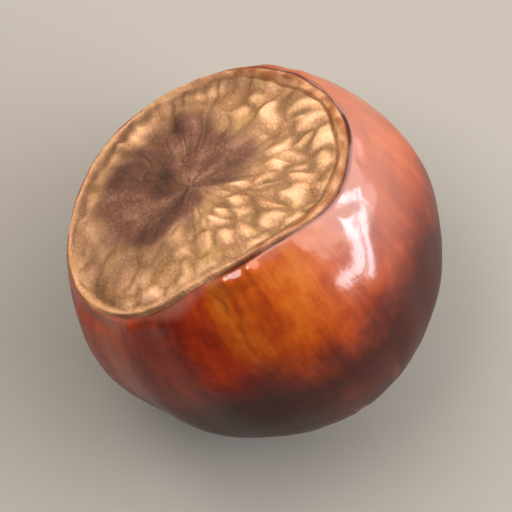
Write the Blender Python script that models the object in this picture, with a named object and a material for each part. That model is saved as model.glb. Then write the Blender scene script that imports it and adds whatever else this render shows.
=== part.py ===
"""A whole hazelnut in its shell, at rest on a table with its scar turned up to one side.

The nut is one closed body: a sphere drawn out into the nut's turned form, then given its relief by formulas.
In the nut's own frame +Z runs out of the scar and the tip points down -Z. The broad way is X, the flat way Y.
"""

import math

import bmesh
import bpy
from mathutils import Matrix, Vector, noise

MM = 0.001

# Driving sizes of the nut, in metres
WIDTH = 21.0 * MM
DEPTH = 20.0 * MM
SCAR_WIDTH = 16.9 * MM
BASE_RISE = 10.25 * MM
TIP_DROP = 11.4 * MM
SCAR_CROWN = 1.25 * MM
TIP_LEAN = 0.5 * MM
POINT_HEIGHT = 0.5 * MM
POINT_SPREAD = 0.9 * MM

# How the outline closes: fuller than an ellipse towards the scar, and more pointed than one towards the tip
BASE_FULLNESS = 0.87
TIP_TAPER = 1.24
TIP_BLUNTNESS = 1.05

# Relief that stands out of the plain form, in metres
SWELL_HEIGHT = 0.18 * MM
SWELL_LENGTH = 8.0 * MM
SWELL_PLACE = Vector((3.0, 1.0, 5.0))
RIB_HEIGHT = 0.30 * MM
RIBS_ROUND = 22
RIB_WANDER = 1.2
KEEL_HEIGHT = 0.14 * MM
KEEL_HALF_ANGLE = math.radians(9)
GROOVE_DEPTH = 0.20 * MM
GROOVE_HALF_WIDTH = 0.30 * MM
BORDER_HEIGHT = 0.22 * MM
FOLD_HEIGHT = 0.45 * MM
FOLDS_ROUND = 34
FOLDS_INWARD = 2.6
HOLLOW_DEPTH = 0.22 * MM
BOSS_HEIGHT = 0.14 * MM
WANDER_REACH = 2.5

# Where the scar's relief lies, as shares of the way from its centre to its rim
BORDER_PLACE, BORDER_HALF_WIDTH = 0.935, 0.055
BORDER_UNEVENNESS = 0.8
HOLLOW_START, HOLLOW_END = 0.34, 0.62
FOLD_FADE_START, FOLD_FADE_END = 0.90, 0.97
BOSS_SPREAD = 0.22

# Where the shell's relief lies, as shares of the way from the scar's rim to the tip
RIB_START_END = 0.08
RIB_FADE_START, RIB_FADE_END = 0.28, 0.80
KEEL_START, KEEL_FULL = 0.45, 0.72
KEEL_FADE_START, KEEL_FADE_END = 0.74, 0.92

# The scar lies a little askew and isn't a true circle: (waves round it, swing in radians, phase in radians)
RIM_WAVES = ((1, 0.177, 0.507), (2, 0.073, -0.960), (3, 0.041, 0.716), (5, 0.010, 4.0), (9, 0.006, 1.3))

# How the nut lies: the angle of its axis above the table, and how deep it is worn where it rests
REST_TILT = math.radians(37)
SPOT_DEPTH = 0.18 * MM

# Mesh density, and how the rings crowd together at the rim of the scar
SIDES = 120
RINGS = 40
RIM_SHARE = 0.4
SCAR_CROWDING = 1.6
SHELL_CROWDING = 1.3
SLOPE_STEP = 0.004

BELLY_RADIUS = WIDTH / 2
FLATNESS = DEPTH / WIDTH
RIM_LATITUDE = math.acos((SCAR_WIDTH / WIDTH) ** (1 / BASE_FULLNESS))
SCAR_TOP = BASE_RISE * math.sin(RIM_LATITUDE) + SCAR_CROWN

SHELL_BROWN = (0.235, 0.052, 0.016, 1)
SCAR_TAN = (0.46, 0.24, 0.11, 1)
GLOSS_ROUGHNESS = 0.22
CORK_ROUGHNESS = 0.75


def bump(place, centre, half_width):
    """1 at the centre, falling smoothly to 0 at half_width to either side."""
    away = abs(place - centre) / half_width
    return 0.0 if away >= 1 else (1 + math.cos(math.pi * away)) / 2


def rise(place, start, end):
    """0 up to start, 1 from end on, and a smooth step between them."""
    part = min(1.0, max(0.0, (place - start) / (end - start)))
    return part * part * (3 - 2 * part)


def round_nut(turn, reach, height):
    """A place on a cylinder of that reach, so that noise read there closes on itself round the nut."""
    return Vector((reach * math.cos(turn), reach * math.sin(turn), height))


def along_scar(share):
    """How far a ring lies from the scar's centre, from 0 to 1 at its rim."""
    return 1 - (1 - min(1.0, share / RIM_SHARE)) ** SCAR_CROWDING


def along_shell(share):
    """How far a ring lies down the shell, from 0 at the scar's rim to 1 at the tip."""
    return max(0.0, (share - RIM_SHARE) / (1 - RIM_SHARE)) ** SHELL_CROWDING


def outline(share, turn):
    """(radius, height) of the plain turned form, at a share of the way from the scar's centre to the tip."""
    rim = RIM_LATITUDE + sum(swing * math.sin(waves * turn + phase) for waves, swing, phase in RIM_WAVES)
    if share < RIM_SHARE:
        out = along_scar(share)
        rim_height = BASE_RISE * math.sin(rim)
        return BELLY_RADIUS * math.cos(rim) ** BASE_FULLNESS * out, SCAR_TOP + (rim_height - SCAR_TOP) * out**2
    latitude = rim - along_shell(share) * (rim + math.pi / 2)
    if latitude > 0:
        return BELLY_RADIUS * math.cos(latitude) ** BASE_FULLNESS, BASE_RISE * math.sin(latitude)
    cosine = max(0.0, math.cos(latitude))
    return BELLY_RADIUS * cosine**TIP_TAPER, -TIP_DROP * (-math.sin(latitude)) ** TIP_BLUNTNESS


def scar_relief(share, turn):
    """The corky scar: a raised border, folds that run in from it, and a low middle with a faint boss."""
    out = along_scar(share)
    wander = noise.noise(round_nut(turn, WANDER_REACH, WANDER_REACH * out))
    folds = noise.noise(round_nut(turn, FOLDS_ROUND / (2 * math.pi), FOLDS_INWARD * out))
    folds *= rise(out, HOLLOW_START, HOLLOW_END) * (1 - rise(out, FOLD_FADE_START, FOLD_FADE_END))
    border = bump(out, BORDER_PLACE, BORDER_HALF_WIDTH) * (1 + BORDER_UNEVENNESS * wander)
    hollow = 1 - rise(out, HOLLOW_START, HOLLOW_END)
    boss = math.exp(-((out / BOSS_SPREAD) ** 2))
    return FOLD_HEIGHT * folds + BORDER_HEIGHT * border - HOLLOW_DEPTH * hollow + BOSS_HEIGHT * boss


def shell_relief(share, turn):
    """The woody shell: ribs that start at the scar and die out down the nut, and a keel on each narrow side."""
    down = along_shell(share)
    ribs = noise.noise(round_nut(turn, RIBS_ROUND / (2 * math.pi), RIB_WANDER * down))
    ribs *= rise(down, 0.0, RIB_START_END) * (1 - rise(down, RIB_FADE_START, RIB_FADE_END))
    keel = bump(math.remainder(turn, math.pi), 0, KEEL_HALF_ANGLE)
    keel *= rise(down, KEEL_START, KEEL_FULL) * (1 - rise(down, KEEL_FADE_START, KEEL_FADE_END))
    return RIB_HEIGHT * ribs + KEEL_HEIGHT * keel


def nut_point(share, turn):
    """A point of the nut's surface in its own frame: the plain form, moved along its normal by the relief."""
    radius, height = outline(share, turn)
    before = Vector(outline(max(0.0, share - SLOPE_STEP), turn))
    after = Vector(outline(min(1.0, share + SLOPE_STEP), turn))
    tangent = (after - before).normalized()
    from_rim = (Vector((radius, height)) - Vector(outline(RIM_SHARE, turn))).length
    lift = scar_relief(share, turn) if share < RIM_SHARE else shell_relief(share, turn)
    lift -= GROOVE_DEPTH * bump(from_rim, 0, GROOVE_HALF_WIDTH)
    lift += SWELL_HEIGHT * noise.noise(round_nut(turn, radius, height) / SWELL_LENGTH + SWELL_PLACE)
    radius -= tangent.y * lift
    height += tangent.x * lift
    if height < 0:
        height -= POINT_HEIGHT * math.exp(-((radius / POINT_SPREAD) ** 2))
    lean = TIP_LEAN * (min(0.0, height) / TIP_DROP) ** 2
    return Vector((radius * math.cos(turn) + lean, radius * math.sin(turn) * FLATNESS, height))


def draw_out_sphere(bm):
    """Moves a sphere's rings to the nut's form, one pole on the scar's centre and the other on the tip."""
    bmesh.ops.create_uvsphere(bm, u_segments=SIDES, v_segments=RINGS, radius=1.0)
    for face in bm.faces:
        face.smooth = True
        face.material_index = int(face.calc_center_median().normalized().z > math.cos(RIM_SHARE * math.pi))
    for vert in bm.verts:
        share = math.acos(max(-1.0, min(1.0, vert.co.z))) / math.pi
        vert.co = nut_point(share, math.atan2(vert.co.y, vert.co.x))


def lay_down(bm):
    """Tips the nut over on its side, wears a small flat spot under it and sets that on the table."""
    tip_over = Matrix.Rotation(REST_TILT - math.pi / 2, 4, "Y") @ Matrix.Rotation(math.pi / 2, 4, "Z")
    bm.transform(tip_over)
    table = min(vert.co.z for vert in bm.verts) + SPOT_DEPTH
    cut = bmesh.ops.bisect_plane(
        bm,
        geom=[*bm.verts, *bm.edges, *bm.faces],
        plane_co=(0, 0, table),
        plane_no=(0, 0, -1),
        clear_outer=True,
    )
    spot_edges = [item for item in cut["geom_cut"] if isinstance(item, bmesh.types.BMEdge)]
    bmesh.ops.contextual_create(bm, geom=spot_edges)
    across, deep = ([vert.co[axis] for vert in bm.verts] for axis in (0, 1))
    middle = Vector(((min(across) + max(across)) / 2, (min(deep) + max(deep)) / 2, table))
    bmesh.ops.translate(bm, verts=bm.verts, vec=-middle)
    bmesh.ops.recalc_face_normals(bm, faces=bm.faces)


def finish(name, colour, roughness):
    """A plain finish of the nut, matt or glossy."""
    material = bpy.data.materials.new(name)
    material.use_nodes = True
    shader = material.node_tree.nodes["Principled BSDF"]
    shader.inputs["Base Color"].default_value = colour
    shader.inputs["Roughness"].default_value = roughness
    shader.inputs["Metallic"].default_value = 0.0
    return material


def build_hazelnut():
    """The nut as one object in a collection of its own."""
    bm = bmesh.new()
    draw_out_sphere(bm)
    lay_down(bm)
    mesh = bpy.data.meshes.new("hazelnut")
    bm.to_mesh(mesh)
    bm.free()
    mesh.materials.append(finish("glossy_shell", SHELL_BROWN, GLOSS_ROUGHNESS))
    mesh.materials.append(finish("corky_scar", SCAR_TAN, CORK_ROUGHNESS))
    nut = bpy.data.objects.new("hazelnut", mesh)
    collection = bpy.data.collections.new("hazelnut_in_shell")
    bpy.context.scene.collection.children.link(collection)
    collection.objects.link(nut)
    return nut


for old in list(bpy.data.objects):
    bpy.data.objects.remove(old)
build_hazelnut()
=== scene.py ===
"""The looks of one roasted hazelnut in its shell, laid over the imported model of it.

Lengths are in metres. In the nut's own frame +Z runs out of the scar and the tip points down -Z. A turn is an
angle round that axis. Noise is read on a cylinder, where the reach sets how many lumps go round the nut.
"""

import math

import bmesh
import bpy
from mathutils import Matrix, Vector, noise


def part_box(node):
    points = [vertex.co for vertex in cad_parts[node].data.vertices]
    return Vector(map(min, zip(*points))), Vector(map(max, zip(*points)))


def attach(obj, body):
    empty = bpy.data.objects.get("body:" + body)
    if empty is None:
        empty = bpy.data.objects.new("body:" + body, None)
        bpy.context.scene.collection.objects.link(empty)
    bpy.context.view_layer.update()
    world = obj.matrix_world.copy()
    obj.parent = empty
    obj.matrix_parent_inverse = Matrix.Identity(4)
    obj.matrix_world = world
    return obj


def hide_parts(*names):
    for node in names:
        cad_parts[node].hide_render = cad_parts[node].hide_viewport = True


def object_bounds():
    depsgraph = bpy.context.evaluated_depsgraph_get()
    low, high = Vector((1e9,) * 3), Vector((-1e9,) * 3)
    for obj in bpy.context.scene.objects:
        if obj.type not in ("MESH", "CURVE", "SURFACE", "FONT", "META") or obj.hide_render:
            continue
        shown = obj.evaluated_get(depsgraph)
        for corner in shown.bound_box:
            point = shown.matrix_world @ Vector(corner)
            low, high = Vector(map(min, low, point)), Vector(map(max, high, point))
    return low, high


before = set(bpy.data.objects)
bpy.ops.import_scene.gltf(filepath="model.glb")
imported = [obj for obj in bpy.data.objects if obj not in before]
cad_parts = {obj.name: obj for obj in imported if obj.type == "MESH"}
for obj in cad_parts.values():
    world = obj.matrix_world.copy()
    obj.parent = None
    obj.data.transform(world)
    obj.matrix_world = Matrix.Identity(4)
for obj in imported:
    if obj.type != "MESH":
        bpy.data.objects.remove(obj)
cad_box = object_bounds()

# The nut's plain form
# A hazelnut grows whole inside a leafy husk: one hard, woody shell, round and a little flat, blunt at its tip
# and cut off by the scar where the husk held it. It has the sizes of the solid model, so that the two agree.
MM = 0.001
WIDTH = 21.0 * MM
DEPTH = 20.0 * MM
BELLY_RADIUS = WIDTH / 2
BASE_RISE = 10.25 * MM
BASE_FULLNESS = 0.87
TIP_DROP = 11.4 * MM
TIP_TAPER = 1.24
TIP_BLUNTNESS = 1.05
SCAR_WIDTH = 16.9 * MM
SCAR_CROWN = 1.25 * MM
RIM_LATITUDE = math.acos((SCAR_WIDTH / WIDTH) ** (1 / BASE_FULLNESS))
SCAR_TOP = BASE_RISE * math.sin(RIM_LATITUDE) + SCAR_CROWN
# The scar isn't a true circle: (waves round it, swing in radians, phase in radians)
RIM_WAVES = ((1, 0.177, 0.507), (2, 0.073, -0.960), (3, 0.041, 0.716), (5, 0.010, 4.0), (9, 0.006, 1.3))
# The share of the rings that the scar takes, and how closely the rings crowd together at its rim
RIM_SHARE = 0.4
SCAR_CROWDING = 1.6
SHELL_CROWDING = 1.3


def along_scar(share):
    """How far a ring lies from the scar's centre, from 0 to 1 at its rim."""
    return 1 - (1 - min(1.0, share / RIM_SHARE)) ** SCAR_CROWDING


def along_shell(share):
    """How far a ring lies down the shell, from 0 at the scar's rim to 1 at the tip."""
    return max(0.0, (share - RIM_SHARE) / (1 - RIM_SHARE)) ** SHELL_CROWDING


def outline(share, turn):
    """Radius and height of the plain turned form, at a share of the way from the scar's centre to the tip."""
    rim = RIM_LATITUDE + sum(swing * math.sin(waves * turn + phase) for waves, swing, phase in RIM_WAVES)
    if share < RIM_SHARE:
        out = along_scar(share)
        rim_radius = BELLY_RADIUS * math.cos(rim) ** BASE_FULLNESS
        rim_height = BASE_RISE * math.sin(rim)
        return Vector((rim_radius * out, SCAR_TOP + (rim_height - SCAR_TOP) * out**2))
    latitude = rim - along_shell(share) * (rim + math.pi / 2)
    if latitude > 0:
        return Vector((BELLY_RADIUS * math.cos(latitude) ** BASE_FULLNESS, BASE_RISE * math.sin(latitude)))
    cosine = max(0.0, math.cos(latitude))
    return Vector((BELLY_RADIUS * cosine**TIP_TAPER, -TIP_DROP * (-math.sin(latitude)) ** TIP_BLUNTNESS))


# The scar's broad forms and its smooth skin
# Spongy cork that dried and shrank where the nut broke from its husk. Folds run in from the rim to a sunken
# middle with a faint boss, and the middle is closed by a smoother skin, cracked like a star.
FOLD_HEIGHT = 0.36 * MM
FOLDS_ROUND = 34
FOLDS_INWARD = 2.6
FOLD_FADE_START, FOLD_FADE_END = 0.90, 0.97
HOLLOW_DEPTH = 0.22 * MM
HOLLOW_START, HOLLOW_END = 0.34, 0.62
BOSS_HEIGHT = 0.14 * MM
BOSS_SPREAD = 0.22


def bump(place, centre, half_width):
    """1 at the centre, falling smoothly to 0 at half_width to either side."""
    away = abs(place - centre) / half_width
    return 0.0 if away >= 1 else (1 + math.cos(math.pi * away)) / 2


def rise(place, start, end):
    """0 up to start, 1 from end on, and a smooth step between them."""
    part = min(1.0, max(0.0, (place - start) / (end - start)))
    return part * part * (3 - 2 * part)


def round_nut(turn, reach, height):
    """A place on a cylinder of that reach, so that noise read there closes on itself round the nut."""
    return Vector((reach * math.cos(turn), reach * math.sin(turn), height))


def folded(out, turn):
    """The lift of the scar's broad forms, at a share of the way out to its rim."""
    folds = noise.noise(round_nut(turn, FOLDS_ROUND / math.tau, FOLDS_INWARD * out))
    folds *= rise(out, HOLLOW_START, HOLLOW_END) * (1 - rise(out, FOLD_FADE_START, FOLD_FADE_END))
    hollow = 1 - rise(out, HOLLOW_START, HOLLOW_END)
    boss = math.exp(-((out / BOSS_SPREAD) ** 2))
    return FOLD_HEIGHT * folds - HOLLOW_DEPTH * hollow + BOSS_HEIGHT * boss


# The skin reaches furthest to the scar's far side, and its edge is ragged
SKIN_REACH = 0.54
SKIN_REACH_ACROSS = -0.11
SKIN_REACH_FAR = 0.22
SKIN_WAVINESS = 0.14
SKIN_WAVES = (1.3, 4.0)
SKIN_EDGE_START, SKIN_EDGE_END = -0.14, 0.16
RAGGEDNESS = 0.14
RAGS_REACH = 5.0
RAGS_INWARD = 4
# A band of it lies inside the lip on the far side
BAND_SHARE = 0.75
BAND_PLACE, BAND_HALF_WIDTH = 0.9 * MM, 0.8 * MM
BAND_ARC_START, BAND_ARC_END = 0.1, 0.8
# A paler wash of it spreads to the scar's low end
WASH_SHARE = 0.50
WASH_TURN = 0.25
WASH_ARC_START, WASH_ARC_END = 0.35, 0.95
WASH_EDGE_START, WASH_EDGE_END = 0.10, 0.34


def skinned(out, turn, from_rim):
    """How much smooth skin lies over the cork at a place of the scar, from 0 to 1."""
    reach = SKIN_REACH + SKIN_REACH_ACROSS * math.cos(turn) + SKIN_REACH_FAR * math.sin(turn)
    reach += SKIN_WAVINESS * noise.noise(round_nut(turn, *SKIN_WAVES))
    ragged_out = out + RAGGEDNESS * noise.noise(round_nut(turn, RAGS_REACH, RAGS_INWARD * out))
    middle = 1 - rise(ragged_out, reach + SKIN_EDGE_START, reach + SKIN_EDGE_END)
    band = bump(from_rim, BAND_PLACE, BAND_HALF_WIDTH) * rise(math.sin(turn), BAND_ARC_START, BAND_ARC_END)
    wash = rise(-math.cos(turn - WASH_TURN), WASH_ARC_START, WASH_ARC_END)
    wash *= 1 - rise(ragged_out, reach + WASH_EDGE_START, reach + WASH_EDGE_END)
    return max(middle, BAND_SHARE * band, WASH_SHARE * wash)


# The lip
# The edge of the shell, turned in over the cork as a thin, lumpy, tan-brown lip with a dark crease inside.
# It is broad and plain to see at one end of the scar, and narrow and faint at the other.
LIP_HEIGHT = 0.08 * MM
LIP_WIDTH = 0.40 * MM
LIP_SPREAD = 0.30 * MM
LIP_SPREAD_TURN = 0.25
LIP_SPREAD_START, LIP_SPREAD_END = 0.1, 0.95
LIP_UNEVENNESS = 0.8
LIP_EDGE_WANDER, LIP_EDGE_WAVINESS = 0.25, 0.35
LIP_EDGE_WAVES = (4.0, 1.0)
LIP_LUMP_HEIGHT = 0.07 * MM
LIP_LUMPS_ROUND = 70
LIP_LUMP_WIDTH = 0.45 * MM
LIP_STRENGTH, LIP_MOTTLE = 0.65, 0.9
LIP_CREASE_WIDTH = 0.22 * MM
LIP_FAINTEST = 0.15
CLEAR_END_TURN = 0.45
CLEAR_START, CLEAR_FULL = -0.3, 0.7


def clear_end(turn):
    """1 round the end of the scar where the lip is plain to see, and 0 round the other."""
    return rise(math.cos(turn + CLEAR_END_TURN), CLEAR_START, CLEAR_FULL)


def lip_relief(turn, from_rim, wander):
    """(lift, lip, crease, inside) of the lip; inside is 1 where the cork within it starts."""
    start = LIP_WIDTH + LIP_SPREAD * rise(math.cos(turn + LIP_SPREAD_TURN), LIP_SPREAD_START, LIP_SPREAD_END)
    waviness = noise.noise(round_nut(turn, *LIP_EDGE_WAVES))
    start *= 1 + LIP_EDGE_WANDER * wander + LIP_EDGE_WAVINESS * waviness
    inside = rise(from_rim, start, start + LIP_CREASE_WIDTH)
    clear = LIP_FAINTEST + (1 - LIP_FAINTEST) * clear_end(turn)
    lumps = noise.noise(round_nut(turn, LIP_LUMPS_ROUND / math.tau, from_rim / LIP_LUMP_WIDTH))
    lip = (1 - inside) * clear * max(0.0, LIP_STRENGTH + LIP_MOTTLE * lumps)
    crease = bump(from_rim, start + LIP_CREASE_WIDTH / 2, LIP_CREASE_WIDTH) * clear
    lift = LIP_HEIGHT * bump(from_rim, start / 2, start / 2) * (1 + LIP_UNEVENNESS * wander)
    lift += LIP_LUMP_HEIGHT * lumps * (1 - inside) * rise(from_rim, 0.0, LIP_WIDTH / 2)
    return lift - LIP_HEIGHT * crease, lip, crease, inside


# The cork's cells
# Pockets of cork about a millimetre across that swelled and dried hard, domed and parted by creases. The
# creases' darkness and the domes' lighter tops are partly painted shade and painted light.
# They crowd together on the side of the scar that is uppermost, and some have grown into one.
CELL_HEIGHT = 0.34 * MM
CELLS_ROUND = 24
CELLS_INWARD = 5.0
CELL_CROWDING = 0.25
CELL_WARP, CELL_WARP_SCALE = 0.30, 0.8
CELL_FRAY, CELL_FRAY_SCALE = 0.12, 2.1
JOSTLE_STARTS = (Vector((0.0, 0.0, 0.0)), Vector((17.3, 5.1, 9.7)), Vector((4.9, 21.7, 13.1)))
DOME_START, DOME_REACH = 0.1, 0.80
CELL_CROWN_SHARE = 0.80
CROWN_LEVEL = 0.6
CELL_LUMPINESS, CELL_LUMP_SCALE = 0.25, 2.2
FUSED_SCALE, FUSED_PLACE = 1.1, Vector((7, 2, 4))
FUSED_START, FUSED_FULL = 0.0, 0.35
FUSED_SHARE = 0.7
# The creases' dark brown is partly the cork's own colour and partly painted shade
CREASE_SHARE = 0.34
CREASE_BASE, CREASE_BY_DOME = 0.75, 0.55
PLAIN_TONE = 0.5
CELL_TONE, CELL_TONE_SCALE = 0.4, 7.3
# The crowns are painted lighter, as painted light on the tops of the domes
CROWN_PAINTED_LIGHT, CROWN_PAINTED_LIGHT_LEVEL = 0.95, 0.54


def jostled(place, scale, reach):
    """A place moved aside by noise of that scale, by up to about that reach."""
    return place + reach * Vector([noise.noise(scale * place + start) for start in JOSTLE_STARTS])


def cell_relief(out, turn, here):
    """(lift, crease, tone) of the cells, where here says how much the cork shows, from 0 to 1. The crease is
    partly painted shade, and the tone partly painted light on the domes' tops.
    """
    crowded = turn + CELL_CROWDING * math.cos(turn)
    place = round_nut(crowded, CELLS_ROUND / math.tau, CELLS_INWARD * out)
    place = jostled(jostled(place, CELL_WARP_SCALE, CELL_WARP), CELL_FRAY_SCALE, CELL_FRAY)
    gaps, cells = noise.voronoi(place)
    parting = gaps[1] - gaps[0]
    dome = 1 - rise(gaps[0], DOME_START, DOME_REACH)
    crown = (rise(parting, 0.0, CELL_CROWN_SHARE) + dome) / 2
    lumps = noise.noise(CELL_LUMP_SCALE * place)
    lift = CELL_HEIGHT * (crown - CROWN_LEVEL + CELL_LUMPINESS * lumps) * here
    fused = rise(noise.noise(FUSED_SCALE * place + FUSED_PLACE), FUSED_START, FUSED_FULL)
    crease = (1 - rise(parting, 0.0, CREASE_SHARE)) * here
    crease *= (1 - FUSED_SHARE * fused) * (CREASE_BASE + CREASE_BY_DOME * dome)
    own_tone = noise.noise(CELL_TONE_SCALE * cells[0])
    tone = PLAIN_TONE + (CELL_TONE * own_tone + CROWN_PAINTED_LIGHT * (crown - CROWN_PAINTED_LIGHT_LEVEL)) * here
    return lift, min(1.0, crease), tone


# The whole scar
# Short ridges run in from the lip all the way round, and cracks run out through the skin from a star that
# lies off the middle. The relief is boldest at the end of the scar where the lip is plain to see.
WANDER_REACH = 2.5
STAR_OFFSET = Vector((-0.13, -0.24))
BOLDNESS, BOLD_SWING, BOLD_TURN = 0.62, 0.38, 0.6
RIDGE_HEIGHT = 0.22 * MM
RIDGES_ROUND = 78
RIDGES_INWARD = 1.4
RIDGE_PLACE, RIDGE_HALF_WIDTH = 0.85, 0.14
FURROW_START, FURROW_FULL = 0.02, 0.30
RAYS = 9
RAY_DEPTH = 0.10 * MM
RAY_HALF_WIDTH = 0.20 * MM
RAY_WANDER = 1.6
RAY_START, RAY_FULL = 0.02, 0.08
RAY_REACH, RAY_REACH_SPREAD, RAY_FADE = 0.42, 0.5, 0.2
RAY_CHOICE = (3.0, 1.0)
STRIPE_HEIGHT = 0.05 * MM
STRIPES_ROUND = 90
STRIPES_INWARD = 2
STRIPE_START, STRIPE_FULL = 0.1, 0.4
# How dark each kind of crease is painted, and how much darker where the relief is bold: partly the cork's own
# colour and partly painted shade
CELL_CREASE, CELL_CREASE_BOLD = 0.12, 0.78
FURROW_CREASE, FURROW_CREASE_BOLD = 0.12, 0.36
RAY_CREASE = 0.40
LIP_CREASE = 0.95
# Lighter and darker wedges and blotches of the skin
WEDGE_TONE, WEDGE_REACH, WEDGE_START = 0.6, 1.9, 6
BLOTCH_TONE, BLOTCH_SCALE, BLOTCH_SLICE = 0.5, 5, 3.0


def scar_relief(out, turn, from_rim):
    """(lift, crease, middle, tone, lip) at a share of the way out to the scar's rim."""
    wander = noise.noise(round_nut(turn, WANDER_REACH, WANDER_REACH * out))
    lift = folded(out, turn)

    # From here on, the way out and the turn are taken from the star
    across = Vector((out * math.cos(turn), out * math.sin(turn))) - STAR_OFFSET * (1 - out)
    out, turn = across.length, math.atan2(across.y, across.x)
    middle = skinned(out, turn, from_rim)
    lip_lift, lip, lip_crease, inside_lip = lip_relief(turn, from_rim, wander)
    cell_lift, cell_crease, tone = cell_relief(out, turn, (1 - middle) * inside_lip)
    bold = BOLDNESS + BOLD_SWING * math.cos(turn + BOLD_TURN)

    ridges = noise.noise(round_nut(turn, RIDGES_ROUND / math.tau, RIDGES_INWARD * out))
    by_lip = bump(out, RIDGE_PLACE, RIDGE_HALF_WIDTH) * inside_lip
    furrow = rise(-ridges, FURROW_START, FURROW_FULL) * by_lip

    to_ray = abs(math.sin(RAYS / 2 * turn + RAY_WANDER * wander)) * (2 / RAYS) * BELLY_RADIUS * out
    ray_choice = noise.noise(round_nut(round(turn * RAYS / math.tau), *RAY_CHOICE))
    ray_end = RAY_REACH + RAY_REACH_SPREAD * ray_choice
    ray = (1 - rise(to_ray, 0.0, RAY_HALF_WIDTH)) * rise(out, RAY_START, RAY_FULL)
    ray *= 1 - rise(out, ray_end - RAY_FADE, ray_end)
    stripes = noise.noise(round_nut(turn, STRIPES_ROUND / math.tau, STRIPES_INWARD * out))

    lift += cell_lift * bold + RIDGE_HEIGHT * ridges * by_lip - RAY_DEPTH * ray
    lift += STRIPE_HEIGHT * stripes * rise(out, STRIPE_START, STRIPE_FULL) + lip_lift
    crease = max(
        cell_crease * (CELL_CREASE + CELL_CREASE_BOLD * bold),
        furrow * (FURROW_CREASE + FURROW_CREASE_BOLD * bold),
        ray * RAY_CREASE,
        lip_crease * LIP_CREASE,
    )
    wedges = noise.noise(round_nut(turn, WEDGE_REACH, WEDGE_START + out))
    blotches = noise.noise(Vector((BLOTCH_SCALE * across.x, BLOTCH_SCALE * across.y, BLOTCH_SLICE)))
    tone += (WEDGE_TONE * wedges + BLOTCH_TONE * blotches) * middle
    return lift, crease, middle, tone, lip


# The woody shell
# Hard and smooth, and in one with the scar. Ribs start at the scar and die out down the nut, a keel runs
# along each narrow side, and the tip is finely wrinkled. Shallow dents and pimples break up the gloss.
RIB_HEIGHT = 0.30 * MM
RIBS_ROUND = 22
RIB_WANDER = 1.2
RIB_START_END = 0.08
RIB_FADE_START, RIB_FADE_END = 0.28, 0.80
KEEL_HEIGHT = 0.14 * MM
KEEL_HALF_ANGLE = math.radians(9)
KEEL_START, KEEL_FULL = 0.45, 0.72
KEEL_FADE_START, KEEL_FADE_END = 0.74, 0.92
WRINKLE_HEIGHT = 0.11 * MM
WRINKLES_ROUND = 64
WRINKLES_DOWN = 5
WRINKLE_START, WRINKLE_FULL = 0.55, 0.90
WRINKLE_FADE_START, WRINKLE_FADE_END = 0.93, 1.0
DENT_HEIGHT = 0.042 * MM
DENT_LENGTH = 2.2 * MM
PIMPLE_HEIGHT = 0.006 * MM
PIMPLE_LENGTH = 0.7 * MM


def shell_relief(down, turn, place):
    """The shell's lift at a share of the way down from the scar's rim to the tip."""
    ribs = noise.noise(round_nut(turn, RIBS_ROUND / math.tau, RIB_WANDER * down))
    ribs *= rise(down, 0.0, RIB_START_END) * (1 - rise(down, RIB_FADE_START, RIB_FADE_END))
    keel = bump(math.remainder(turn, math.pi), 0, KEEL_HALF_ANGLE)
    keel *= rise(down, KEEL_START, KEEL_FULL) * (1 - rise(down, KEEL_FADE_START, KEEL_FADE_END))
    wrinkles = noise.noise(round_nut(turn, WRINKLES_ROUND / math.tau, WRINKLES_DOWN * down))
    wrinkles *= rise(down, WRINKLE_START, WRINKLE_FULL)
    wrinkles *= 1 - rise(down, WRINKLE_FADE_START, WRINKLE_FADE_END)
    dents = DENT_HEIGHT * noise.noise(place / DENT_LENGTH)
    dents += PIMPLE_HEIGHT * noise.noise(place / PIMPLE_LENGTH)
    return RIB_HEIGHT * ribs + KEEL_HEIGHT * keel + WRINKLE_HEIGHT * wrinkles + dents


# Fine scratches that waver and break off, each as (turn in degrees, start and end as shares of the way down)
SCRATCHES = ((-112.0, 0.01, 0.16), (-108.5, 0.06, 0.27), (64.0, 0.16, 0.40))
SCRATCH_DEPTH = 0.03 * MM
SCRATCH_HALF_WIDTH = 0.18 * MM
SCRATCH_DARKNESS = 0.7
WAVER, WAVER_PLACE, WAVERS_DOWN = 0.05, (1.5, 2.5), 14
BREAK_LEVEL, BREAK_SWING, BREAK_PLACE, BREAKS_DOWN = 0.75, 0.9, (5.5, 0.5), 34


def scratched(down, turn, radius):
    """How far a place lies in one of the shell's scratches, from 0 to 1."""
    waver = WAVER * noise.noise(Vector((*WAVER_PLACE, WAVERS_DOWN * down)))
    unbroken = BREAK_LEVEL + BREAK_SWING * noise.noise(Vector((*BREAK_PLACE, BREAKS_DOWN * down)))
    most = 0.0
    for centre, start, end in SCRATCHES:
        away = abs(math.remainder(turn + waver - math.radians(centre), math.tau)) * radius
        most = max(most, bump(away, 0, SCRATCH_HALF_WIDTH) * bump(down, (start + end) / 2, (end - start) / 2))
    return most * min(1.0, unbroken)


# Small knobs of shell right beside the scar, which catch the light
KNOB_TURNS = [math.radians(turn) for turn in (-106, -96, -148)]
KNOB_HEIGHT = 0.13 * MM
KNOB_PLACE = 0.45 * MM
KNOB_RADIUS = 0.55 * MM


def knobs(from_rim, turn, radius):
    """How far up one of the small knobs beside the scar a place lies, from 0 to 1."""
    arcs = (math.remainder(turn - knob, math.tau) * radius for knob in KNOB_TURNS)
    return sum(bump(math.hypot(arc, from_rim - KNOB_PLACE), 0, KNOB_RADIUS) for arc in arcs)


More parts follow.
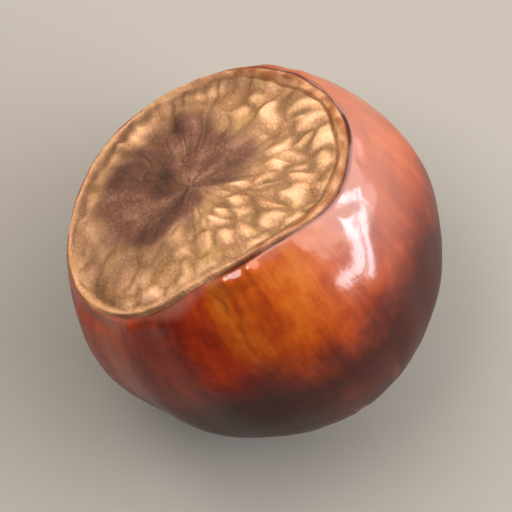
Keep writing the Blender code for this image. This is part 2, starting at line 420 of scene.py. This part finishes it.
# The whole surface
# A groove with a dark line parts scar and shell, and an uneven shoulder swells on either side of it. The
# nut is a little lumpy all over, and its tip leans aside and ends in a small point.
GROOVE_DEPTH = 0.15 * MM
GROOVE_HALF_WIDTH = 0.22 * MM
RIM_LINE_HALF_WIDTH = 0.32 * MM
RIM_LINE_FAINTEST = 0.30
RIM_LINE_UNEVENNESS = 0.6
SHOULDER_HEIGHT = 0.26 * MM
SHOULDER_PLACE = 0.8 * MM
SHOULDER_WAVES = (4.5, 3.5)
SWELL_HEIGHT = 0.18 * MM
SWELL_LENGTH = 8.0 * MM
SWELL_PLACE = Vector((3.0, 1.0, 5.0))
TIP_LEAN = 0.5 * MM
POINT_HEIGHT = 0.5 * MM
POINT_SPREAD = 0.9 * MM
SLOPE_STEP = 0.004


def nut_point(share, turn):
    """(place in the nut's own frame, rim line, crease, middle, tone, lip) at a point of the surface."""
    radius, height = plain = outline(share, turn)
    before = outline(max(0.0, share - SLOPE_STEP), turn)
    after = outline(min(1.0, share + SLOPE_STEP), turn)
    tangent = (after - before).normalized()
    from_rim = (plain - outline(RIM_SHARE, turn)).length
    place = round_nut(turn, radius, height)
    uneven = noise.noise(round_nut(turn, *SHOULDER_WAVES))
    if share < RIM_SHARE:
        lift, *looks = scar_relief(along_scar(share), turn, from_rim)
    else:
        lift = shell_relief(along_shell(share), turn, place)
        scratch = scratched(along_shell(share), turn, radius)
        lift += KNOB_HEIGHT * knobs(from_rim, turn, radius) - SCRATCH_DEPTH * scratch
        looks = SCRATCH_DARKNESS * scratch, 0.0, PLAIN_TONE, 0.0
    lift -= GROOVE_DEPTH * bump(from_rim, 0, GROOVE_HALF_WIDTH) * (1 + uneven)
    lift += SHOULDER_HEIGHT * bump(from_rim, SHOULDER_PLACE, SHOULDER_PLACE) * uneven
    lift += SWELL_HEIGHT * noise.noise(place / SWELL_LENGTH + SWELL_PLACE)
    radius -= tangent.y * lift
    height += tangent.x * lift
    if height < 0:
        height -= POINT_HEIGHT * math.exp(-((radius / POINT_SPREAD) ** 2))
    lean = TIP_LEAN * (min(0.0, height) / TIP_DROP) ** 2
    point = Vector((radius * math.cos(turn) + lean, radius * math.sin(turn) * DEPTH / WIDTH, height))
    rim_line = bump(from_rim, 0, RIM_LINE_HALF_WIDTH)
    rim_line *= RIM_LINE_FAINTEST + (1 - RIM_LINE_FAINTEST) * clear_end(turn)
    return point, rim_line * (1 + RIM_LINE_UNEVENNESS * uneven), *looks


# Where the shell's colours lie
# Roasting and oiling colour a nut unevenly, in broad soft stripes from the scar to the tip: red, lighter or
# darker, and pale. Some lighter and darker stripes are painted light and shade, and the pale ones are mostly
# a painted pinkish sheen. Each is (turn, half width and softness in degrees, how much).
RED_STRIPES = ((-152, 42, 9, 1.0), (-34, 40, 26, 0.5), (95, 32, 14, 0.9), (40, 14, 9, 0.5))
# Lighter and darker stripes: mostly the shell's own tone, but the stripe at -165 degrees is painted light on
# the nut's shaded side, and the one at -50 degrees is painted shade
TONE_AND_PAINTED_LIGHT_STRIPES = (
    (-165, 30, 24, 0.26),
    (-127, 13, 12, -0.10),
    (-88, 16, 14, 0.06),
    (-50, 26, 18, -0.15),
    (60, 26, 20, 0.15),
)
PALE_AND_SHEEN_STRIPES = ((-34, 66, 50, 0.55), (120, 50, 40, 0.3))
PALE_START, PALE_END = 0.06, 0.33
STRIPE_WANDER, STRIPE_WANDER_WAVES = 0.08, (4, 0)
STRIPE_LEAN, STRIPE_LEAN_REACH, STRIPE_LEANS_DOWN = 0.16, 1.5, 3
# A pale pinkish tone lies in patches right beside the scar too: partly the shell's paler colour there and
# partly a painted sheen
PALE_AND_SHEEN_BY_SCAR = 0.45
PALE_AND_SHEEN_LEVEL = 0.7
PALE_AND_SHEEN_PATCHES = (3.0, 9.0)
PALE_AND_SHEEN_START, PALE_AND_SHEEN_END = 0.012, 0.060


def striped(turn, stripes):
    """How much of those stripes there is at a turn round the nut."""
    wander = noise.noise(round_nut(turn, *STRIPE_WANDER_WAVES))
    degrees = math.degrees(turn + STRIPE_WANDER * wander)
    return sum(
        much * (1 - rise(abs(math.remainder(degrees - centre, 360)), half_width - softness, half_width))
        for centre, half_width, softness, much in stripes
    )


def shell_colouring(down, turn):
    """(red, lightness, paleness) of the shell at a share of the way down it. The lightness holds some painted
    light and shade, and the paleness is mostly a painted pinkish sheen.
    """
    leaning = turn + STRIPE_LEAN * noise.noise(round_nut(turn, STRIPE_LEAN_REACH, STRIPE_LEANS_DOWN * down))
    pale_and_sheen = striped(leaning, PALE_AND_SHEEN_STRIPES) * (1 - rise(down, PALE_START, PALE_END))
    patchy = PALE_AND_SHEEN_LEVEL + noise.noise(round_nut(turn, *PALE_AND_SHEEN_PATCHES))
    pale_and_sheen_by_scar = PALE_AND_SHEEN_BY_SCAR * patchy * (1 - rise(down, PALE_AND_SHEEN_START, PALE_AND_SHEEN_END * patchy))
    return striped(leaning, RED_STRIPES), striped(leaning, TONE_AND_PAINTED_LIGHT_STRIPES), max(pale_and_sheen, pale_and_sheen_by_scar)


# The nut as one piece
# A sphere's rings are drawn out to the nut's form, one pole on the scar's centre and the other on the tip.
# The nut is then tipped over on its side, worn flat where it rests, and stands in for the plain solid.
REST_TILT = math.radians(37)
SPOT_DEPTH = 0.18 * MM
SIDES = 400
RINGS = 240
SHELL_LENGTH = 27 * MM
LOOKS = ("red", "light", "pale_and_sheen", "rim_line", "crease", "middle", "tone", "lip")


def lay_down(bm):
    """Tips the nut over on its side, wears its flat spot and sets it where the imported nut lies."""
    bm.transform(Matrix.Rotation(REST_TILT - math.pi / 2, 4, "Y") @ Matrix.Rotation(math.pi / 2, 4, "Z"))
    lowest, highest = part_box("hazelnut")
    across, deep, high = ([vert.co[axis] for vert in bm.verts] for axis in range(3))
    table = min(high) + SPOT_DEPTH
    middle = Vector(((min(across) + max(across)) / 2, (min(deep) + max(deep)) / 2, table))
    goal = Vector(((lowest.x + highest.x) / 2, (lowest.y + highest.y) / 2, lowest.z))
    bmesh.ops.translate(bm, verts=bm.verts, vec=goal - middle)
    for vert in bm.verts:
        vert.co.z = max(vert.co.z, lowest.z)
    bmesh.ops.recalc_face_normals(bm, faces=bm.faces)


bm = bmesh.new()
bmesh.ops.create_uvsphere(bm, u_segments=SIDES, v_segments=RINGS, radius=1.0)
grain_of = bm.verts.layers.float_vector.new("grain")
layers = {name: bm.verts.layers.float.new(name) for name in LOOKS}
for face in bm.faces:
    face.smooth = True
    face.material_index = int(face.calc_center_median().normalized().z > math.cos(RIM_SHARE * math.pi))
for vert in bm.verts:
    share = math.acos(max(-1.0, min(1.0, vert.co.z))) / math.pi
    turn = math.atan2(vert.co.y, vert.co.x)
    down = along_shell(share)
    point, *looks = nut_point(share, turn)
    for name, value in zip(LOOKS, (*shell_colouring(down, turn), *looks)):
        vert[layers[name]] = value
    vert[grain_of] = round_nut(turn, BELLY_RADIUS, SHELL_LENGTH * down) / MM
    vert.co = point
lay_down(bm)
mesh = bpy.data.meshes.new("hazelnut_in_shell")
bm.to_mesh(mesh)
bm.free()
nut = bpy.data.objects.new("hazelnut_in_shell", mesh)
bpy.context.scene.collection.objects.link(nut)
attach(nut, "root")
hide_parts("hazelnut")

# The roasted shell's finish
# Oiled, roasted nutshell: dense wood-like fibres that run from the scar to the tip, dark where the roast bit
# deepest, under a thin film of oil. To the eye it is deep red-brown to orange, streaked and very glossy. Its
# colour also holds painted shade towards the tip and a painted pinkish sheen beside the scar.


def linear(hex_colour):
    """The linear RGBA of an sRGB colour written as six hex digits."""
    parts = [int(hex_colour[i : i + 2], 16) / 255 for i in (0, 2, 4)]
    return [part / 12.92 if part <= 0.04045 else ((part + 0.055) / 1.055) ** 2.4 for part in parts] + [1.0]


def add_node(tree, kind, inputs=(), stops=(), **settings):
    """Adds a node with its settings; inputs gives each input a value or the socket that feeds it."""
    node = tree.nodes.new(kind)
    for name, value in settings.items():
        setattr(node, name, value)
    for key, value in dict(inputs).items():
        if isinstance(value, bpy.types.NodeSocket):
            tree.links.new(value, node.inputs[key])
        else:
            node.inputs[key].default_value = value
    for number, (place, colour) in enumerate(stops):
        stop = node.color_ramp.elements[number] if number < 2 else node.color_ramp.elements.new(place)
        stop.position = place
        stop.color = linear(colour)
    return node


# A Mix node's two colour inputs and its colour output, by number
UNDER, OVER, MIXED = 6, 7, 2


def start_material(name):
    """A new material with its node tree and the tree's main shader."""
    material = bpy.data.materials.new(name)
    material.use_nodes = True
    return material, material.node_tree, material.node_tree.nodes["Principled BSDF"]


shell, tree, shader = start_material("oiled_roasted_shell")
# What the nut's mesh gives at each point: how red it is, how light, and so on
given = {}
for name in ("red", "light", "pale_and_sheen", "rim_line", "crease"):
    given[name] = add_node(tree, "ShaderNodeAttribute", attribute_name=name).outputs["Fac"]
place = add_node(tree, "ShaderNodeTexCoord").outputs["Object"]
# The grain is a place on a cylinder as wide as the nut, in millimetres round it and along the shell
grain = add_node(tree, "ShaderNodeAttribute", attribute_name="grain").outputs["Vector"]
along = add_node(tree, "ShaderNodeSeparateXYZ", {0: grain}).outputs["Z"]

# Streaks, blotches and fibres follow the grain, each as (width, length) in millimetres. Real fibres and
# pores are finer than a tenth of a millimetre, and are drawn as coarse as they need to be to show.
STREAK = (1.4, 12.0)
BLOTCH = (1.6, 3.0)
FIBRE = (0.3, 6.0)
grain_noises = []
for (width, length), detail in ((STREAK, 3.0), (BLOTCH, 4.0), (FIBRE, 2.0)):
    stretched = add_node(
        tree,
        "ShaderNodeMapping",
        {"Vector": grain, "Scale": (1 / width, 1 / width, 1 / length)},
    )
    grain_noises.append(
        add_node(
            tree,
            "ShaderNodeTexNoise",
            {"Vector": stretched.outputs[0], "Scale": 1.0, "Detail": detail},
        )
    )
streaks, blotches, fibres = grain_noises
# Patches, specks and the pores that break up the gloss have no direction; sizes in metres
PATCH = 0.005
SPECK = 0.0005
PORE = 0.0004
patches = add_node(
    tree,
    "ShaderNodeTexNoise",
    {"Vector": place, "Scale": 1 / PATCH, "Detail": 4.0, "Roughness": 0.6},
)
specks = add_node(tree, "ShaderNodeTexNoise", {"Vector": place, "Scale": 1 / SPECK, "Detail": 2.0})
pores = add_node(tree, "ShaderNodeTexNoise", {"Vector": place, "Scale": 1 / PORE, "Detail": 2.0})

# The shell darkens towards its tip, between these places in millimetres along it: partly its own darker tip,
# and partly painted shade on the nut's lower side
DARK_START, DARK_FULL = 6.5, 12.0
shade = add_node(
    tree,
    "ShaderNodeMapRange",
    {"Value": along, "From Min": DARK_START, "From Max": DARK_FULL, "To Min": -0.44, "To Max": -1.08},
)
# How light the shell is: its stripes, some of them painted light and shade, the painted shade towards the
# tip, and a share of each pattern
depth = add_node(tree, "ShaderNodeMath", {0: given["light"], 1: shade.outputs[0]}, operation="ADD")
for share, part in ((0.70, patches), (0.40, streaks), (0.60, blotches), (0.18, fibres), (0.16, specks)):
    depth = add_node(
        tree,
        "ShaderNodeMath",
        {0: part.outputs["Fac"], 1: share, 2: depth.outputs[0]},
        operation="MULTIPLY_ADD",
    )
# From darkest to lightest; each ramp gives its two ends first, and then the colours between them
ORANGE_SHELL = (
    (0.00, "360B02"),
    (0.95, "A4672B"),
    (0.25, "591803"),
    (0.45, "7B2B03"),
    (0.60, "8F3D05"),
    (0.75, "985010"),
)
RED_SHELL = (
    (0.00, "2C0702"),
    (0.95, "964018"),
    (0.25, "460B02"),
    (0.45, "5C1203"),
    (0.60, "721D03"),
    (0.75, "8A2A05"),
)
orange_part = add_node(tree, "ShaderNodeValToRGB", {"Fac": depth.outputs[0]}, stops=ORANGE_SHELL)
red_part = add_node(tree, "ShaderNodeValToRGB", {"Fac": depth.outputs[0]}, stops=RED_SHELL)
# The fibres fray the edge between the two
frayed = add_node(
    tree,
    "ShaderNodeMath",
    {0: fibres.outputs["Fac"], 1: 1.0, 2: -0.5},
    operation="MULTIPLY_ADD",
)
frayed = add_node(tree, "ShaderNodeMath", {0: given["red"], 1: frayed.outputs[0]}, operation="ADD")
redness = add_node(
    tree,
    "ShaderNodeMapRange",
    {"Value": frayed.outputs[0], "From Min": 0.15, "From Max": 0.85},
)
colour = add_node(
    tree,
    "ShaderNodeMix",
    {"Factor": redness.outputs[0], UNDER: orange_part.outputs[0], OVER: red_part.outputs[0]},
    data_type="RGBA",
)
# A pinkish paleness comes over it, mostly a painted sheen, then the dark line at the scar's rim and the dirt
# in the scratches, which share the crease attribute with the cork
# The pinkish colour is mostly a painted sheen
PINKISH_PALE_AND_SHEEN = "8D5F51"
RIM_BROWN = "43180A"
SCRATCH_BROWN = "3E0D03"
for mask, tint in (("pale_and_sheen", PINKISH_PALE_AND_SHEEN), ("rim_line", RIM_BROWN), ("crease", SCRATCH_BROWN)):
    colour = add_node(
        tree,
        "ShaderNodeMix",
        {"Factor": given[mask], UNDER: colour.outputs[MIXED], OVER: linear(tint)},
        data_type="RGBA",
    )

# Dust and down are left round the tip, with an edge that the patches and streaks make ragged
DUST = "9C8270"
DUST_START, DUST_FULL = 24.0, 34.0
edge = along
for reach, part in ((9.0, patches), (7.0, streaks)):
    edge = add_node(
        tree,
        "ShaderNodeMath",
        {0: part.outputs["Fac"], 1: reach, 2: edge},
        operation="MULTIPLY_ADD",
    ).outputs[0]
near_tip = add_node(
    tree,
    "ShaderNodeMapRange",
    {"Value": edge, "From Min": DUST_START, "From Max": DUST_FULL},
    interpolation_type="SMOOTHSTEP",
)
downy = add_node(
    tree,
    "ShaderNodeMath",
    {0: fibres.outputs["Fac"], 1: 0.6, 2: 0.4},
    operation="MULTIPLY_ADD",
)
dust = add_node(
    tree,
    "ShaderNodeMath",
    {0: near_tip.outputs[0], 1: downy.outputs[0]},
    operation="MULTIPLY",
)
dusty = add_node(
    tree,
    "ShaderNodeMix",
    {"Factor": dust.outputs[0], UNDER: colour.outputs[MIXED], OVER: linear(DUST)},
    data_type="RGBA",
)
tree.links.new(dusty.outputs[MIXED], shader.inputs["Base Color"])
rough = add_node(
    tree,
    "ShaderNodeMapRange",
    {"Value": dust.outputs[0], "To Min": 0.46, "To Max": 0.75},
)
tree.links.new(rough.outputs[0], shader.inputs["Roughness"])
shader.inputs["IOR"].default_value = 1.50
shader.inputs["Specular IOR Level"].default_value = 0.12

# The oil is thickest round the scar and thins out between these places in millimetres along the shell
THINNING_START, THINNING_END = 7.0, 12.0
oil = add_node(
    tree,
    "ShaderNodeMapRange",
    {"Value": along, "From Min": THINNING_START, "From Max": THINNING_END, "To Min": 0.38, "To Max": 0.12},
)
tree.links.new(oil.outputs[0], shader.inputs["Coat Weight"])
shader.inputs["Coat Roughness"].default_value = 0.13
shader.inputs["Coat IOR"].default_value = 1.9

# The fibres and pores are felt in the shell, and the pores more faintly through the oil; depths in metres
FIBRE_DEPTH = 0.03 * MM
PORE_DEPTH = 0.03 * MM
OIL_DEPTH = 0.012 * MM
fibre_bump = add_node(
    tree,
    "ShaderNodeBump",
    {"Height": fibres.outputs["Fac"], "Strength": 0.5, "Distance": FIBRE_DEPTH},
)
pore_bump = add_node(
    tree,
    "ShaderNodeBump",
    {
        "Height": pores.outputs["Fac"],
        "Strength": 0.5,
        "Distance": PORE_DEPTH,
        "Normal": fibre_bump.outputs[0],
    },
)
tree.links.new(pore_bump.outputs[0], shader.inputs["Normal"])
oil_bump = add_node(
    tree,
    "ShaderNodeBump",
    {"Height": pores.outputs["Fac"], "Strength": 0.5, "Distance": OIL_DEPTH},
)
tree.links.new(oil_bump.outputs[0], shader.inputs["Coat Normal"])

# The scar's finish
# Dry, matt cork in swollen cells, golden tan on their tops and dark brown in the creases, round a smoother
# mauve-brown middle with star-like cracks. The lighter tops and darker creases are partly painted light and
# shade. A tan-brown lip closes it off, with a dark line against the shell.
cork, tree, shader = start_material("dry_cork_scar")
given = {}
for name in ("rim_line", "crease", "middle", "tone", "lip"):
    given[name] = add_node(tree, "ShaderNodeAttribute", attribute_name=name).outputs["Fac"]
place = add_node(tree, "ShaderNodeTexCoord").outputs["Object"]

# Mottling, yellowed clouds, grains that crumble off the cells, and grit between them; sizes in metres
MOTTLE = 0.0009
CLOUD = 0.0028
CRUMB = 0.0003
CRUMB_SHIFT = 0.00025
GRIT = 0.00012
mottle = add_node(
    tree,
    "ShaderNodeTexNoise",
    {"Vector": place, "Scale": 1 / MOTTLE, "Detail": 5.0, "Roughness": 0.62},
)
crumbled = add_node(
    tree,
    "ShaderNodeVectorMath",
    {0: mottle.outputs["Color"], 1: (CRUMB_SHIFT, CRUMB_SHIFT, CRUMB_SHIFT), 2: place},
    operation="MULTIPLY_ADD",
)
crumbs = add_node(
    tree,
    "ShaderNodeTexVoronoi",
    {"Vector": crumbled.outputs[0], "Scale": 1 / CRUMB},
    feature="DISTANCE_TO_EDGE",
)
pits = add_node(
    tree,
    "ShaderNodeMapRange",
    {"Value": crumbs.outputs["Distance"], "From Min": 0.02, "From Max": 0.22},
)
grit = add_node(tree, "ShaderNodeTexNoise", {"Vector": place, "Scale": 1 / GRIT, "Detail": 2.0})
clouds = add_node(tree, "ShaderNodeTexNoise", {"Vector": place, "Scale": 1 / CLOUD, "Detail": 2.0})

# How light the cork is: mottling, its tone with the painted light on the domes' tops, pits and grit
tops = add_node(
    tree,
    "ShaderNodeMath",
    {0: mottle.outputs["Fac"], 1: 0.45, 2: -0.13},
    operation="MULTIPLY_ADD",
)
for share, part in ((0.55, given["tone"]), (0.10, pits.outputs[0]), (0.12, grit.outputs["Fac"])):
    tops = add_node(
        tree,
        "ShaderNodeMath",
        {0: part, 1: share, 2: tops.outputs[0]},
        operation="MULTIPLY_ADD",
    )
TAN_CORK = ((0.15, "815839"), (0.85, "CD9D79"), (0.5, "AF835E"))
YELLOWED_CORK = "94713E"
MAUVE_SKIN = ((0.2, "362018"), (0.85, "87604D"), (0.5, "573627"))
CREASE_BROWN = "5E4124"
LIP_BROWN = "744323"
tan = add_node(tree, "ShaderNodeValToRGB", {"Fac": tops.outputs[0]}, stops=TAN_CORK)
yellowed = add_node(
    tree,
    "ShaderNodeMapRange",
    {"Value": clouds.outputs["Fac"], "From Min": 0.50, "From Max": 0.70, "To Max": 0.60},
)
tan = add_node(
    tree,
    "ShaderNodeMix",
    {"Factor": yellowed.outputs[0], UNDER: tan.outputs[0], OVER: linear(YELLOWED_CORK)},
    data_type="RGBA",
)
mauve = add_node(tree, "ShaderNodeValToRGB", {"Fac": tops.outputs[0]}, stops=MAUVE_SKIN)
colour = add_node(
    tree,
    "ShaderNodeMix",
    {"Factor": given["middle"], UNDER: tan.outputs[MIXED], OVER: mauve.outputs[0]},
    data_type="RGBA",
)
# The creases' brown is partly painted shade
for mask, tint in (("crease", CREASE_BROWN), ("lip", LIP_BROWN), ("rim_line", RIM_BROWN)):
    colour = add_node(
        tree,
        "ShaderNodeMix",
        {"Factor": given[mask], UNDER: colour.outputs[MIXED], OVER: linear(tint)},
        data_type="RGBA",
    )
tree.links.new(colour.outputs[MIXED], shader.inputs["Base Color"])
shader.inputs["Roughness"].default_value = 0.66
shader.inputs["IOR"].default_value = 1.45
shader.inputs["Specular IOR Level"].default_value = 0.2

# The finest relief, each as a depth in metres; the smooth middle has less of all of it
GRIT_DEPTH = 0.03 * MM
PIT_DEPTH = 0.022 * MM
MOTTLE_DEPTH = 0.10 * MM
coarse = add_node(tree, "ShaderNodeMapRange", {"Value": given["middle"], "To Min": 0.8, "To Max": 0.3})
relief = add_node(
    tree,
    "ShaderNodeBump",
    {"Height": grit.outputs["Fac"], "Strength": coarse.outputs[0], "Distance": GRIT_DEPTH},
)
for height, part in ((PIT_DEPTH, pits.outputs[0]), (MOTTLE_DEPTH, mottle.outputs["Fac"])):
    relief = add_node(
        tree,
        "ShaderNodeBump",
        {"Height": part, "Strength": coarse.outputs[0], "Distance": height, "Normal": relief.outputs[0]},
    )
tree.links.new(relief.outputs[0], shader.inputs["Normal"])
nut.data.materials.append(shell)
nut.data.materials.append(cork)

# The floor
# One round sheet of plain, pale, matt card that lies under the nut. It is cut so wide that its edge is never
# in view, and its soft dull surface takes the nut's shadow.
FLOOR_RADIUS = 4.0
FLOOR_SIDES = 96
CARD_GREY = "837D75"
bm = bmesh.new()
bmesh.ops.create_circle(bm, cap_ends=True, segments=FLOOR_SIDES, radius=FLOOR_RADIUS)
mesh = bpy.data.meshes.new("studio_floor")
bm.to_mesh(mesh)
bm.free()
floor = bpy.data.objects.new("studio_floor", mesh)
bpy.context.scene.collection.objects.link(floor)
card, tree, shader = start_material("pale_matt_card")
shader.inputs["Base Color"].default_value = linear(CARD_GREY)
shader.inputs["Roughness"].default_value = 0.9
floor.data.materials.append(card)

# The camera
# It looks almost straight down, as in the photograph, from half a metre away. The nut fills three quarters of
# the picture, with its scar to the upper left.
CAMERA_AZIMUTH = math.radians(54.6)
CAMERA_ELEVATION = math.radians(88)
CAMERA_DISTANCE = 0.5
VIEW_WIDTH = 28.5 * MM
back = Vector((
    math.sin(CAMERA_AZIMUTH) * math.cos(CAMERA_ELEVATION),
    -math.cos(CAMERA_AZIMUTH) * math.cos(CAMERA_ELEVATION),
    math.sin(CAMERA_ELEVATION),
))
lowest, highest = cad_box
centre = (lowest + highest) / 2
camera_data = bpy.data.cameras.new("camera")
camera_data.lens = camera_data.sensor_width * CAMERA_DISTANCE / VIEW_WIDTH
camera_data.clip_start = 0.01
camera = bpy.data.objects.new("camera", camera_data)
camera.location = centre + CAMERA_DISTANCE * back
camera.rotation_euler = back.to_track_quat("Z", "Y").to_euler()
bpy.context.scene.collection.objects.link(camera)
bpy.context.scene.camera = camera

# The light
# A wide soft light from the picture's upper side up to overhead, a tall window in two panes low on the right,
# which gives the gloss its glint, and a small soft light from the front.
LIGHT_DISTANCE = 0.8
picture_right = Vector((math.cos(CAMERA_AZIMUTH), math.sin(CAMERA_AZIMUTH), 0))
picture_up = Vector((-math.sin(CAMERA_AZIMUTH), math.cos(CAMERA_AZIMUTH), 0))


def soft_light(name, width, height, radiance, tint, right, up, toward_camera):
    """A rectangular light that faces the nut from the direction given in the picture's own axes."""
    direction = (right * picture_right + up * picture_up + toward_camera * Vector((0, 0, 1))).normalized()
    data = bpy.data.lights.new(name, "AREA")
    data.shape = "RECTANGLE"
    data.size = width
    data.size_y = height
    data.energy = radiance * math.pi * width * height
    data.color = linear(tint)[:3]
    light = bpy.data.objects.new(name, data)
    light.location = centre + LIGHT_DISTANCE * direction
    light.rotation_euler = direction.to_track_quat("Z", "Y").to_euler()
    light.visible_camera = False
    bpy.context.scene.collection.objects.link(light)


# Width and height in metres, radiance, tint, then the direction: right, up and toward the camera
soft_light("wide_soft_light", 2.0, 1.5, 3.8, "FFFCF8", 0.34, 0.75, 0.60)
soft_light("upper_window_pane", 0.60, 0.13, 19.0, "EEF4FF", 0.865, 0.01, 0.501)
soft_light("lower_window_pane", 0.60, 0.10, 18.0, "EEF4FF", 0.945, 0.01, 0.327)
soft_light("front_light", 0.40, 0.40, 10.0, "FFFDFA", -0.35, 0.25, 0.90)

# The room
# Only the camera sees a pale surrounding. The nut's gloss sees a dim room, dark above and lighter down by
# the floor, up to a slope of ROOM_HEIGHT.
PALE_SURROUNDING = "E6E4E1"
ROOM_LOW = "99938B"
ROOM_HIGH = "504B45"
ROOM_HEIGHT = 0.40
world = bpy.data.worlds.new("studio")
world.use_nodes = True
tree = world.node_tree
seen = add_node(tree, "ShaderNodeLightPath").outputs["Is Camera Ray"]
direction = add_node(tree, "ShaderNodeTexCoord").outputs["Generated"]
upward = add_node(tree, "ShaderNodeSeparateXYZ", {0: direction}).outputs["Z"]
height = add_node(
    tree,
    "ShaderNodeMapRange",
    {"Value": upward, "From Min": 0.0, "From Max": ROOM_HEIGHT},
    interpolation_type="SMOOTHSTEP",
)
walls = add_node(
    tree,
    "ShaderNodeMix",
    {"Factor": height.outputs[0], UNDER: linear(ROOM_LOW), OVER: linear(ROOM_HIGH)},
    data_type="RGBA",
)
room = add_node(
    tree,
    "ShaderNodeMix",
    {"Factor": seen, UNDER: walls.outputs[MIXED], OVER: linear(PALE_SURROUNDING)},
    data_type="RGBA",
)
tree.links.new(room.outputs[MIXED], tree.nodes["Background"].inputs["Color"])
bpy.context.scene.world = world
bpy.context.scene.view_settings.view_transform = "Standard"
